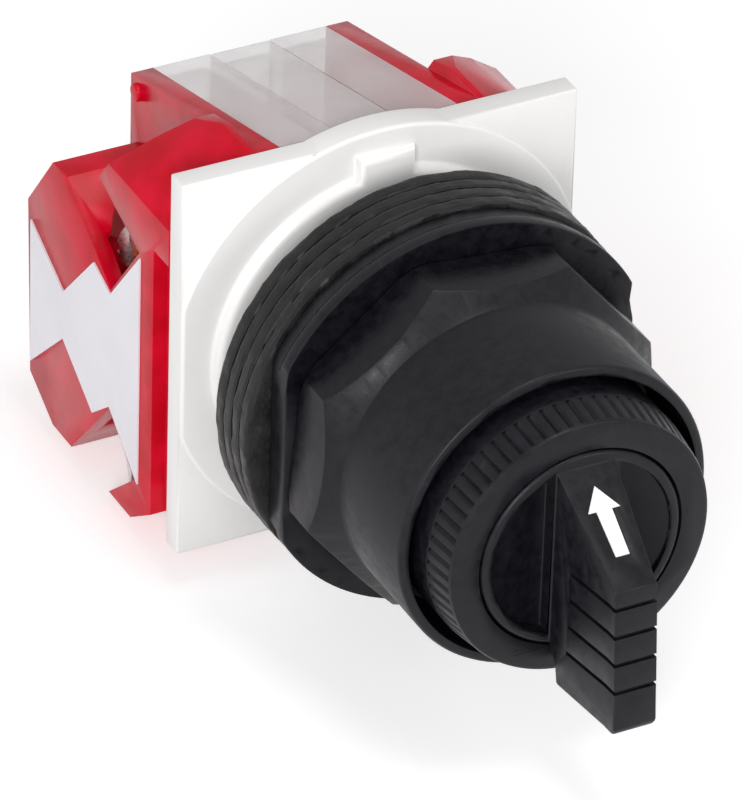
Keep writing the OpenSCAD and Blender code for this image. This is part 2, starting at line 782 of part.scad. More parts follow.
// Saddle clamps over both terminal plates of a block
module wire_clamps(s) {
    color("silver") mirror([s < 0 ? 1 : 0, 0, 0]) for (z = [-1, 1])
        translate([terminal_x, terminal_y + strip_t, z * terminal_z + middle_z]) difference() {
            translate([2 * fit - plate_w2, 0, 2 * fit - plate_h2])
                cube([2 * plate_w2 - 4 * fit, clamp_t, 2 * plate_h2 - 4 * fit]);
            rod_y(terminal_screw_r + 2 * fit, -1, clamp_t + 1);
        }
}

// Terminal screws of a block, with slotted heads
module terminal_screws(s) {
    head_y = terminal_y + strip_t + clamp_t;
    color("silver") mirror([s < 0 ? 1 : 0, 0, 0]) for (z = [-1, 1])
        translate([terminal_x, 0, z * terminal_z + middle_z]) difference() {
            union() {
                rod_y(terminal_screw_r, block_front + 4, head_y + 0.1);
                rod_y(terminal_head_r, head_y, head_y + 2);
            }
            translate([-terminal_head_r - 1, head_y + 1.2, -0.4]) cube([2 * terminal_head_r + 2, 2, 0.8]);
        }
}

// Screws that hold the blocks on the base plate, with slotted heads sunk in the housings
module block_screws() {
    color("silver") for (x = [-1, 1], z = [-1, 1])
        translate([x * screw_x, 0, z * screw_z + middle_z]) difference() {
            union() {
                rod_y(block_screw_r, plate_t - screw_grip + 0.1, screw_head_y + 0.1);
                rod_y(screw_head_r, screw_head_y, screw_head_y + screw_head_t);
            }
            translate([-screw_head_r - 1, screw_head_y + screw_head_t - 0.8, -0.35])
                cube([2 * screw_head_r + 2, 2, 0.7]);
        }
}

base_plate();
barrel();
gasket(0);  // gasket_1
gasket(1);  // gasket_2
gasket(2);  // gasket_3
gasket(3);  // gasket_4
thrust_washer();
ring_nut();
bezel();
knob_seal();
knob();
pointer_arrow();
shaft();
face_cam();
detent_plunger();
detent_spring();
follower(-1);  // left_follower
follower(1);  // right_follower
housing(-1);  // left_housing
housing(1);  // right_housing
cover(-1);  // left_cover
cover(1);  // right_cover
centre_cover();
side_label();
plunger(-1);  // left_plunger
plunger(1);  // right_plunger
bridge(-1);  // left_bridge
bridge(1);  // right_bridge
return_spring(-1);  // left_return_spring
return_spring(1);  // right_return_spring
fixed_contact(-1, 1);  // left_upper_contact
fixed_contact(-1, -1);  // left_lower_contact
fixed_contact(1, 1);  // right_upper_contact
fixed_contact(1, -1);  // right_lower_contact
wire_clamps(-1);  // left_wire_clamps
wire_clamps(1);  // right_wire_clamps
terminal_screws(-1);  // left_terminal_screws
terminal_screws(1);  // right_terminal_screws
block_screws();
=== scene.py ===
"""Panel selector switch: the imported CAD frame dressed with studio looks.

Every length is in metres, in the frame of the CAD source: X to the right as seen from the front,
Y into the panel, Z up, and the origin on the switch axis at the front face of the base plate.
"""

import json
import logging
import math
from collections.abc import Callable
from dataclasses import dataclass, field
from enum import Enum

import bpy
from mathutils import Matrix, Vector

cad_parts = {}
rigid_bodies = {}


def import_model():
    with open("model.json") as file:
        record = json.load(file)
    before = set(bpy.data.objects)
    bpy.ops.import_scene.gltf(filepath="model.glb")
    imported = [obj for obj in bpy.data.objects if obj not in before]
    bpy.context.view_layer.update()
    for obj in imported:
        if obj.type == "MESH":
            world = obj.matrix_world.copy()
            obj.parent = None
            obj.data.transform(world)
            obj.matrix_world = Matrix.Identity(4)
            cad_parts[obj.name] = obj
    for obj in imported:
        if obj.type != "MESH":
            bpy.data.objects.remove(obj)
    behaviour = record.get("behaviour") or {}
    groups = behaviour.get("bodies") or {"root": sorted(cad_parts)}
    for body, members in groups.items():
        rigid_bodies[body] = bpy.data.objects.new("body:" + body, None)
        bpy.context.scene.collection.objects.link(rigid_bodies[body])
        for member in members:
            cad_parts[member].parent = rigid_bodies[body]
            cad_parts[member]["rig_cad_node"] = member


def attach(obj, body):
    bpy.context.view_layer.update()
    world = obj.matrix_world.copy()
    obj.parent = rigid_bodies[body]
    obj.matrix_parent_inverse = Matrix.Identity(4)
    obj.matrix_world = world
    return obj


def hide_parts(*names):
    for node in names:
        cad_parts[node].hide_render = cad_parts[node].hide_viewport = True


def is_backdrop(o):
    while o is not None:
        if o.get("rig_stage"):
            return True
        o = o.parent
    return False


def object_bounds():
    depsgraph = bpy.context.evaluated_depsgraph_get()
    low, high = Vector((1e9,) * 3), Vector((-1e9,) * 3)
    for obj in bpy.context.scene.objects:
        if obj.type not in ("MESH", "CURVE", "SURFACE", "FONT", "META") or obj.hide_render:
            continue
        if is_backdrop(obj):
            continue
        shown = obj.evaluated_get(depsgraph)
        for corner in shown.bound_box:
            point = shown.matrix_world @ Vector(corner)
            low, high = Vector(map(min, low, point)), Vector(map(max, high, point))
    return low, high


LOG = logging.getLogger("selector_switch")
MM = 0.001
Colour = tuple[float, float, float]
Point = tuple[float, float, float]


class Body(Enum):
    """The CAD bodies that pieces ride on."""

    FIXED = "body"
    KNOB = "knob"
    LEFT_PUSH = "left_push"
    RIGHT_PUSH = "right_push"


class Slot(Enum):
    """The record's material slots."""

    WHITE = "white_plastic"
    BLACK = "black_plastic"
    RUBBER = "rubber"
    ARROW = "arrow_white"
    NATURAL = "natural_plastic"
    STEEL = "steel"
    RED = "red_plastic"
    CLEAR = "clear_plastic"
    LABEL = "label_white"
    BRASS = "brass"


# ---------------------------------------------------------------- materials


class NodeSheet:
    """A short way to lay out the nodes of one material."""

    def __init__(self, name: str) -> None:
        """Makes an empty node material.

        Args:
            name: The material's name.
        """
        self.material = bpy.data.materials.new(name)
        self.material.use_nodes = True
        self.tree = self.material.node_tree
        self.tree.nodes.clear()
        self.output = self.tree.nodes.new("ShaderNodeOutputMaterial")

    def add(self, kind: str, **settings: object) -> bpy.types.Node:
        """Adds a node and sets its properties and sockets.

        Args:
            kind: The node type after ShaderNode, such as "BsdfPrincipled".
            settings: Properties by name; a name that isn't one is a socket with _ for a space.

        Returns:
            The new node.
        """
        node = self.tree.nodes.new("ShaderNode" + kind)
        for key, value in settings.items():
            if hasattr(node, key):
                setattr(node, key, value)
            else:
                node.inputs[key.replace("_", " ")].default_value = value
        return node

    def link(self, source: bpy.types.NodeSocket, target: bpy.types.NodeSocket) -> None:
        """Links an output socket to an input socket."""
        self.tree.links.new(source, target)

    def noise(self, scale: float, detail: float = 3.0, roughness: float = 0.55) -> bpy.types.Node:
        """Adds a noise texture on Object coordinates.

        Args:
            scale: Cells per metre.
            detail: Octaves of finer noise.
            roughness: Weight of the finer octaves.

        Returns:
            The noise node.
        """
        place = self.add("TexCoord")
        noise = self.add("TexNoise", Scale=scale, Detail=detail, Roughness=roughness)
        self.link(place.outputs["Object"], noise.inputs["Vector"])
        return noise

    def ramp(self, source: bpy.types.NodeSocket, stops: list[tuple[float, Colour]]) -> bpy.types.Node:
        """Adds a colour ramp behind a value.

        Args:
            source: The value that is looked up.
            stops: Places and colours along the ramp.

        Returns:
            The ramp node.
        """
        node = self.add("ValToRGB")
        ramp = node.color_ramp
        while len(ramp.elements) < len(stops):
            ramp.elements.new(0.5)
        for element, (place, colour) in zip(ramp.elements, stops):
            element.position = place
            element.color = (*colour, 1.0)
        self.link(source, node.inputs["Fac"])
        return node

    def span(self, source: bpy.types.NodeSocket, low: float, high: float,
             start: float = 0.3, end: float = 0.7) -> bpy.types.Node:
        """Adds a map range that turns a noise value into a span of numbers.

        Args:
            source: The value that is mapped.
            low: Result at start.
            high: Result at end.
            start: Lowest input.
            end: Highest input.

        Returns:
            The map range node.
        """
        node = self.add("MapRange")
        node.inputs["From Min"].default_value = start
        node.inputs["From Max"].default_value = end
        node.inputs["To Min"].default_value = low
        node.inputs["To Max"].default_value = high
        self.link(source, node.inputs["Value"])
        return node

    def bump(self, height: bpy.types.NodeSocket, distance: float, strength: float = 1.0,
             under: bpy.types.Node | None = None) -> bpy.types.Node:
        """Adds a bump node.

        Args:
            height: The height value, from 0 to 1.
            distance: Height in metres of a value of 1.
            strength: Weight of the bump.
            under: A bump node that this one adds to.

        Returns:
            The bump node.
        """
        node = self.add("Bump", Strength=strength, Distance=distance)
        self.link(height, node.inputs["Height"])
        if under is not None:
            self.link(under.outputs["Normal"], node.inputs["Normal"])
        return node


@dataclass(frozen=True)
class MouldedPlastic:
    """Opaque moulded plastic: two close tones, a fine grain and handling marks in the gloss."""

    name: str
    light: Colour
    dark: Colour
    rough_low: float
    rough_high: float
    grain: float = 5200.0
    grain_depth: float = 0.010 * MM
    wave_depth: float = 0.05 * MM
    mark_scale: float = 160.0
    sheen_level: float = 0.5
    scuffed: Colour | None = None

    def material(self) -> bpy.types.Material:
        """Builds the node material."""
        sheet = NodeSheet(self.name)
        shader = sheet.add("BsdfPrincipled", IOR=1.5, Specular_IOR_Level=self.sheen_level)
        tone = sheet.noise(self.mark_scale, 4.0, 0.6)
        marks = sheet.noise(self.mark_scale * 4.3, 5.0, 0.65)
        grain = sheet.noise(self.grain, 2.0, 0.5)
        stops = [(0.35, self.dark), (0.62, self.light)]
        if self.scuffed is not None:
            stops += [(0.66, self.light), (0.78, self.scuffed)]
        colour = sheet.ramp(marks.outputs["Fac"] if self.scuffed else tone.outputs["Fac"], stops)
        gloss = sheet.span(marks.outputs["Fac"], self.rough_low, self.rough_high)
        wave = sheet.bump(tone.outputs["Fac"], self.wave_depth, 0.5)
        fine = sheet.bump(grain.outputs["Fac"], self.grain_depth, 0.8, wave)
        sheet.link(colour.outputs["Color"], shader.inputs["Base Color"])
        sheet.link(gloss.outputs["Result"], shader.inputs["Roughness"])
        sheet.link(fine.outputs["Normal"], shader.inputs["Normal"])
        sheet.link(shader.outputs["BSDF"], sheet.output.inputs["Surface"])
        return sheet.material


@dataclass(frozen=True)
class GasketRubber:
    """Matt black rubber with a pitted, dusty surface that browns in scattered worn patches."""

    name: str
    light: Colour = (0.013, 0.012, 0.012)
    dark: Colour = (0.003, 0.003, 0.0035)
    worn: Colour = (0.045, 0.036, 0.028)

    def material(self) -> bpy.types.Material:
        """Builds the node material."""
        sheet = NodeSheet(self.name)
        shader = sheet.add("BsdfPrincipled", IOR=1.48, Specular_IOR_Level=0.3)
        broad = sheet.noise(420.0, 5.0, 0.65)
        pits = sheet.noise(2600.0, 3.0, 0.6)
        colour = sheet.ramp(broad.outputs["Fac"], [(0.36, self.dark), (0.62, self.light), (0.82, self.worn)])
        gloss = sheet.span(broad.outputs["Fac"], 0.30, 0.62)
        coarse = sheet.bump(broad.outputs["Fac"], 0.20 * MM, 0.7)
        fine = sheet.bump(pits.outputs["Fac"], 0.05 * MM, 0.8, coarse)
        sheet.link(colour.outputs["Color"], shader.inputs["Base Color"])
        sheet.link(gloss.outputs["Result"], shader.inputs["Roughness"])
        sheet.link(fine.outputs["Normal"], shader.inputs["Normal"])
        sheet.link(shader.outputs["BSDF"], sheet.output.inputs["Surface"])
        return sheet.material


@dataclass(frozen=True)
class TintedPlastic:
    """See-through moulded plastic: glass with a share of scattering, which clouds it."""

    name: str
    tint: Colour
    cloud: Colour
    clear_share: float
    roughness: float
    flow: float = 260.0
    glow: float = 0.0
    spread: Colour = (1.0, 0.15, 0.15)
    sheen_level: float = 0.5
    wave_depth: float = 0.12 * MM

    def material(self) -> bpy.types.Material:
        """Builds the node material."""
        sheet = NodeSheet(self.name)
        shader = sheet.add("BsdfPrincipled", IOR=1.5, Roughness=self.roughness,
                           Specular_IOR_Level=self.sheen_level)
        shader.inputs["Transmission Weight"].default_value = self.clear_share
        shader.inputs["Subsurface Weight"].default_value = self.glow
        shader.inputs["Subsurface Radius"].default_value = self.spread
        shader.inputs["Subsurface Scale"].default_value = 2.0 * MM
        flow = sheet.noise(self.flow, 3.0, 0.5)
        colour = sheet.ramp(flow.outputs["Fac"], [(0.35, self.tint), (0.65, self.cloud)])
        wave = sheet.bump(flow.outputs["Fac"], self.wave_depth, 0.6)
        sheet.link(colour.outputs["Color"], shader.inputs["Base Color"])
        sheet.link(wave.outputs["Normal"], shader.inputs["Normal"])
        sheet.link(shader.outputs["BSDF"], sheet.output.inputs["Surface"])
        return sheet.material


@dataclass(frozen=True)
class ClearFilm:
    """Thin clear wall: a pale film that thickens where it is seen edge on."""

    name: str
    tint: Colour
    cloud: Colour
    thin: float = 0.16
    thick: float = 0.80
    roughness: float = 0.06

    def material(self) -> bpy.types.Material:
        """Builds the node material."""
        sheet = NodeSheet(self.name)
        shader = sheet.add("BsdfPrincipled", IOR=1.5, Roughness=self.roughness)
        flow = sheet.noise(170.0, 3.0, 0.5)
        colour = sheet.ramp(flow.outputs["Fac"], [(0.35, self.tint), (0.65, self.cloud)])
        edge = sheet.add("LayerWeight", Blend=0.35)
        alpha = sheet.span(edge.outputs["Facing"], self.thin, self.thick, 0.15, 0.95)
        wave = sheet.bump(flow.outputs["Fac"], 0.03 * MM, 0.5)
        sheet.link(colour.outputs["Color"], shader.inputs["Base Color"])
        sheet.link(alpha.outputs["Result"], shader.inputs["Alpha"])
        sheet.link(wave.outputs["Normal"], shader.inputs["Normal"])
        sheet.link(shader.outputs["BSDF"], sheet.output.inputs["Surface"])
        return sheet.material


@dataclass(frozen=True)
class PlatedMetal:
    """Plated or brushed metal with slight stains."""

    name: str
    light: Colour
    dark: Colour
    rough_low: float = 0.22
    rough_high: float = 0.42

    def material(self) -> bpy.types.Material:
        """Builds the node material."""
        sheet = NodeSheet(self.name)
        shader = sheet.add("BsdfPrincipled", Metallic=1.0)
        stain = sheet.noise(480.0, 4.0, 0.6)
        brush = sheet.noise(3400.0, 2.0, 0.5)
        colour = sheet.ramp(stain.outputs["Fac"], [(0.35, self.dark), (0.65, self.light)])
        gloss = sheet.span(brush.outputs["Fac"], self.rough_low, self.rough_high)
        fine = sheet.bump(brush.outputs["Fac"], 0.008 * MM, 0.6)
        sheet.link(colour.outputs["Color"], shader.inputs["Base Color"])
        sheet.link(gloss.outputs["Result"], shader.inputs["Roughness"])
        sheet.link(fine.outputs["Normal"], shader.inputs["Normal"])
        sheet.link(shader.outputs["BSDF"], sheet.output.inputs["Surface"])
        return sheet.material


class Finishes:
    """All the finishes of the switch, each made once."""

    def __init__(self) -> None:
        """Makes the materials."""
        self.made: dict[Slot, bpy.types.Material] = {
            Slot.WHITE: MouldedPlastic("warm_white_plastic", (0.91, 0.90, 0.89), (0.885, 0.875, 0.865),
                                       0.30, 0.46, mark_scale=90.0, wave_depth=0.03 * MM).material(),
            Slot.BLACK: MouldedPlastic("charcoal_plastic", (0.0080, 0.0077, 0.0110), (0.0036, 0.0034, 0.0054),
                                       0.28, 0.50, grain_depth=0.012 * MM, sheen_level=0.24,
                                       scuffed=(0.022, 0.021, 0.022)).material(),
            Slot.RUBBER: GasketRubber("gasket_rubber").material(),
            Slot.ARROW: MouldedPlastic("arrow_enamel", (0.92, 0.92, 0.91), (0.86, 0.86, 0.85),
                                       0.35, 0.5, mark_scale=500.0).material(),
            Slot.NATURAL: MouldedPlastic("natural_nylon", (0.74, 0.71, 0.62), (0.66, 0.63, 0.54),
                                         0.35, 0.5).material(),
            Slot.STEEL: PlatedMetal("plated_steel", (0.70, 0.70, 0.70), (0.55, 0.55, 0.56)).material(),
            Slot.RED: TintedPlastic("red_translucent", (0.66, 0.001, 0.014), (0.84, 0.004, 0.034),
                                    0.22, 0.20, glow=0.30, sheen_level=0.07).material(),
            Slot.CLEAR: ClearFilm("clear_cover", (0.93, 0.84, 0.85), (0.97, 0.93, 0.935)).material(),
            Slot.LABEL: MouldedPlastic("label_film", (0.86, 0.85, 0.90), (0.82, 0.81, 0.86),
                                       0.30, 0.45, grain_depth=0.004 * MM, mark_scale=120.0).material(),
            Slot.BRASS: PlatedMetal("contact_brass", (0.80, 0.60, 0.30), (0.62, 0.44, 0.20)).material(),
        }

    def dress(self, obj: bpy.types.Object, slot: Slot) -> None:
        """Gives an object one finish all over.

        Args:
            obj: A CAD node's object or a new piece.
            slot: The finish.
        """
        obj.data.materials.clear()
        obj.data.materials.append(self.made[slot])

    def dress_node(self, node: str, slot: Slot) -> None:
        """Gives a CAD node one finish all over."""
        self.dress(cad_object(node), slot)


# ---------------------------------------------------------------- modelling tools


def cad_object(node: str) -> bpy.types.Object:
    """The object of a CAD node.

    Args:
        node: The node's name.

    Returns:
        Its mesh object.
    """
    return next(o for o in bpy.context.scene.objects if o.get("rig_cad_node") == node)


def deselect() -> None:
    """Leaves edit mode and clears the selection."""
    if bpy.context.object is not None and bpy.context.object.mode != "OBJECT":
        bpy.ops.object.mode_set(mode="OBJECT")
    bpy.ops.object.select_all(action="DESELECT")


def activate(obj: bpy.types.Object) -> None:
    """Selects one object alone and makes it the active one."""
    deselect()
    obj.select_set(True)
    bpy.context.view_layer.objects.active = obj


def apply_modifiers(obj: bpy.types.Object) -> None:
    """Applies an object's modifiers in their order."""
    activate(obj)
    for modifier in list(obj.modifiers):
        bpy.ops.object.modifier_apply(modifier=modifier.name)


def shade(obj: bpy.types.Object, angle: float = 32.0) -> None:
    """Shades an object smooth up to an angle.

    Args:
        obj: The object.
        angle: Greatest angle, in degrees, that still shades smooth.
    """
    activate(obj)
    bpy.ops.object.shade_smooth_by_angle(angle=math.radians(angle))


def softened_copy(node: str, name: str, width: float, segments: int = 2,
                  angle: float = 28.0, flat: float = 0.6,
                  share: Callable[[Vector], float] | None = None,
                  cutter: bpy.types.Object | None = None) -> bpy.types.Object:
    """Copies a CAD node's shape with its edges eased, ready to stand for the node.

    Args:
        node: The CAD node.
        name: Name of the new piece.
        width: Width of the eased edges.
        segments: Rows of faces across an eased edge.
        angle: Least angle, in degrees, of an edge that is eased.
        flat: Greatest angle, in degrees, between triangles that are joined to one flat face.
        share: Gives the share of the width for an edge with its middle at a point.
        cutter: A solid that is cut out of the copy first, and then deleted.

    Returns:
        The new piece, at the origin.
    """
    source = cad_object(node)
    activate(source)
    bpy.ops.object.duplicate()
    obj = bpy.context.object
    obj.parent = None
    obj.matrix_world = Matrix.Identity(4)
    for key in [k for k in obj.keys() if k.startswith("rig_")]:
        del obj[key]
    obj.name = name
    obj.data.name = name
    activate(obj)
    bpy.ops.object.mode_set(mode="EDIT")
    bpy.ops.mesh.select_all(action="SELECT")
    bpy.ops.mesh.remove_doubles(threshold=0.002 * MM)
    bpy.ops.mesh.dissolve_limited(angle_limit=math.radians(flat))
    bpy.ops.object.mode_set(mode="OBJECT")
    if cutter is not None:
        cut = obj.modifiers.new("recess", "BOOLEAN")
        cut.operation = "DIFFERENCE"
        cut.object = cutter
        apply_modifiers(obj)
        bpy.data.objects.remove(cutter)
    bevel = obj.modifiers.new("eased_edges", "BEVEL")
    bevel.width = width
    bevel.segments = segments
    bevel.limit_method = "ANGLE"
    bevel.angle_limit = math.radians(angle)
    bevel.use_clamp_overlap = share is None
    bevel.miter_outer = "MITER_ARC"
    if share is not None:
        bevel.limit_method = "WEIGHT"
        weigh_edges(obj, math.radians(angle), share)
    apply_modifiers(obj)
    shade(obj)
    return obj


def weigh_edges(obj: bpy.types.Object, angle: float, share: Callable[[Vector], float]) -> None:
    """Sets the bevel weight of an object's sharp edges by their place.

    Args:
        obj: The object.
        angle: Least angle between an edge's faces.
        share: Gives the weight for the middle of an edge.
    """
    mesh = obj.data
    faces: dict[tuple[int, int], list[Vector]] = {}
    for polygon in mesh.polygons:
        for key in polygon.edge_keys:
            faces.setdefault(key, []).append(polygon.normal.copy())
    weights = mesh.attributes.new("bevel_weight_edge", "FLOAT", "EDGE")
    for edge in mesh.edges:
        sides = faces.get(edge.key, [])
        if len(sides) == 2 and sides[0].angle(sides[1], 0.0) >= angle:
            first, second = (mesh.vertices[i].co for i in edge.vertices)
            weights.data[edge.index].value = share((first + second) / 2.0)


def turned_piece(name: str, profile: list[tuple[float, float]], steps: int = 144) -> bpy.types.Object:
    """Spins a closed profile about the switch axis, from one vertex extruded round the profile.

    Args:
        name: Name of the piece.
        profile: Points of radius and Y, in order round the section.
        steps: Steps of the spin.

    Returns:
        The piece, with its faces outwards.
    """
    deselect()
    bpy.ops.mesh.primitive_plane_add(size=MM, location=(0.0, 0.0, 0.0))
    obj = bpy.context.object
    obj.name = name
    obj.data.name = name
    bpy.ops.object.mode_set(mode="EDIT")
    bpy.ops.mesh.select_all(action="SELECT")
    bpy.ops.mesh.merge(type="CENTER")
    here = (0.0, 0.0)
    for number, there in enumerate([*profile, profile[0]]):
        step = (there[0] - here[0], there[1] - here[1], 0.0)
        if number == 0:
            bpy.ops.transform.translate(value=step)
        else:
            bpy.ops.mesh.extrude_region_move(TRANSFORM_OT_translate={"value": step})
        here = there
    bpy.ops.mesh.select_all(action="SELECT")
    bpy.ops.mesh.remove_doubles(threshold=0.001 * MM)
    bpy.ops.mesh.select_all(action="SELECT")
    bpy.ops.mesh.spin(steps=steps, angle=2.0 * math.pi, center=(0.0, 0.0, 0.0), axis=(0.0, 1.0, 0.0))
    bpy.ops.mesh.select_all(action="SELECT")
    bpy.ops.mesh.remove_doubles(threshold=0.001 * MM)
    bpy.ops.mesh.normals_make_consistent(inside=False)
    bpy.ops.object.mode_set(mode="OBJECT")
    return obj


def finish_piece(obj: bpy.types.Object, name: str, width: float) -> None:
    """Names a piece and eases its edges.

    Args:
        obj: The piece.
        name: Its name.
        width: Width of the eased edges.
    """
    obj.name = name
    obj.data.name = name
    bevel = obj.modifiers.new("eased_edges", "BEVEL")
    bevel.width = width
    bevel.segments = 3
    bevel.limit_method = "ANGLE"
    bevel.angle_limit = math.radians(40.0)
    apply_modifiers(obj)
    shade(obj, 40.0)


def roughen(obj: bpy.types.Object, size: float, depth: float, name: str) -> None:
    """Makes a piece's surface uneven with a cloud pattern, in its mesh.

    Args:
        obj: The piece.
        size: Size of the unevenness.
        depth: Its depth, from lowest to highest.
        name: Name of the pattern.
    """
    clouds = bpy.data.textures.new(name, "CLOUDS")
    clouds.noise_scale = size
    clouds.noise_depth = 3
    displace = obj.modifiers.new("uneven", "DISPLACE")
    displace.texture = clouds
    displace.texture_coords = "LOCAL"
    displace.strength = depth
    displace.mid_level = 0.5
    apply_modifiers(obj)


def hand_over(obj: bpy.types.Object, body: Body, slot: Slot, finishes: Finishes, *nodes: str) -> None:
    """Dresses a finished piece, puts it on its body and lets it stand for CAD nodes.

    Args:
        obj: The piece.
        body: The CAD body it rides on.
        slot: Its finish.
        finishes: The finishes.
        nodes: The CAD nodes that it replaces.
    """
    finishes.dress(obj, slot)
    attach(obj, body.value)
    if nodes:
        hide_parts(*nodes)
    LOG.info("%s: %d faces on %s", obj.name, len(obj.data.polygons), body.value)


# ---------------------------------------------------------------- sub-assemblies


@dataclass
class BasePlate:
    """The square white plate with its round face and collar."""

    edge: float = 0.85 * MM
    collar_r: float = 18.8 * MM
    face_r: float = 23.5 * MM
    face_y: float = -0.45 * MM
    collar_y: float = -1.75 * MM
    half_side: float = 22.25 * MM

    def share(self, place: Vector) -> float:
        """Share of the widest edge for an edge of the plate: soft at the collar, finer elsewhere."""
        radius = math.hypot(place.x, place.z)
        if place.y < self.collar_y + 0.05 * MM:
            return 1.0 if abs(radius - self.collar_r) < 0.2 * MM else 0.8 if radius > self.collar_r else 0.3
        if abs(place.y - self.face_y) < 0.02 * MM:
            return 0.5 if radius < self.face_r - 0.3 * MM else 0.48
        if max(abs(place.x), abs(place.z)) > self.half_side - 0.05 * MM:
            return 0.25
        return 0.0

    def build(self, finishes: Finishes) -> None:
        """Builds the plate and dresses it."""
        plate = softened_copy("base_plate", "white_base_plate", self.edge, 4, share=self.share)
        shade(plate, 50.0)
        hand_over(plate, Body.FIXED, Slot.WHITE, finishes, "base_plate")


@dataclass
class GasketStack:
    """The four rubber gaskets, each a little uneven."""

    inner: float = 15.2 * MM
    outer: float = 22.1 * MM
    rear: float = -7.45 * MM
    thick: float = 1.76 * MM
    count: int = 4
    ease: float = 0.42 * MM
    wear: tuple[float, ...] = (0.34 * MM, 0.24 * MM, 0.30 * MM, 0.38 * MM)

    def profile(self, rear: float) -> list[tuple[float, float]]:
        """The section of one gasket.

        Args:
            rear: Y of the gasket's rear face.

        Returns:
            Points of radius and Y.
        """
        front, out, ease = rear - self.thick, self.outer - 0.12 * MM, self.ease
        flat = [0.25 * ease, 0.6 * ease]
        return [
            (self.inner, rear), (out - 3 * MM, rear), (out - ease, rear), (out - flat[0], rear - flat[0]),
            (out, rear - ease), (out, (rear + front) / 2 + flat[1]), (out, (rear + front) / 2 - flat[1]),
            (out, front + ease), (out - flat[0], front + flat[0]), (out - ease, front),
            (out - 3 * MM, front), (self.inner, front),
        ]

    def build(self, finishes: Finishes) -> None:
        """Builds the gaskets and dresses them."""
        for number in range(self.count):
            ring = turned_piece(f"rubber_gasket_{number + 1}", self.profile(self.rear - number * self.thick), 220)
            roughen(ring, 1.7 * MM, self.wear[number % len(self.wear)], f"gasket_wear_{number + 1}")
            shade(ring, 50.0)
            hand_over(ring, Body.FIXED, Slot.RUBBER, finishes, f"gasket_{number + 1}")


@dataclass
class Operator:
    """Barrel, thrust washer, ring nut and bezel."""

    edges: dict[str, float] = field(default_factory=lambda: {
        "thrust_washer": 0.22 * MM, "ring_nut": 0.18 * MM, "bezel": 0.13 * MM,
    })

    def build(self, finishes: Finishes) -> None:
        """Builds the operator's fixed pieces and dresses them."""
        for node, edge in self.edges.items():
            piece = softened_copy(node, f"black_{node}", edge, 2)
            hand_over(piece, Body.FIXED, Slot.BLACK, finishes, node)
        finishes.dress_node("barrel", Slot.BLACK)
        finishes.dress_node("knob_seal", Slot.RUBBER)
        finishes.dress_node("detent_plunger", Slot.STEEL)
        finishes.dress_node("detent_spring", Slot.STEEL)


@dataclass
class Knob:
    """The lever knob with its white pointer."""

    edge: float = 0.32 * MM
    groove_z: float = 0.2 * MM
    groove_pitch: float = 3.15 * MM
    crest_y: float = -47.0 * MM
    low_z: float = -12.0 * MM

    def share(self, place: Vector) -> float:
        """Share of the widest edge: the grip grooves stay fine."""
        off = (self.groove_z - place.z) / self.groove_pitch
        near = abs(off - round(off)) * self.groove_pitch < 0.75 * MM
        if place.y < self.crest_y and abs(place.x) < 3.1 * MM and -0.3 < off < 3.4:
            return 0.06 if near else 0.3
        return 1.0 if place.z < self.low_z else 0.5

    def build(self, finishes: Finishes) -> None:
        """Builds the knob and dresses it."""
        lever = softened_copy("knob", "lever_knob", self.edge, 2, share=self.share)
        hand_over(lever, Body.KNOB, Slot.BLACK, finishes, "knob")
        finishes.dress_node("pointer_arrow", Slot.ARROW)
        finishes.dress_node("shaft", Slot.STEEL)
        finishes.dress_node("face_cam", Slot.NATURAL)


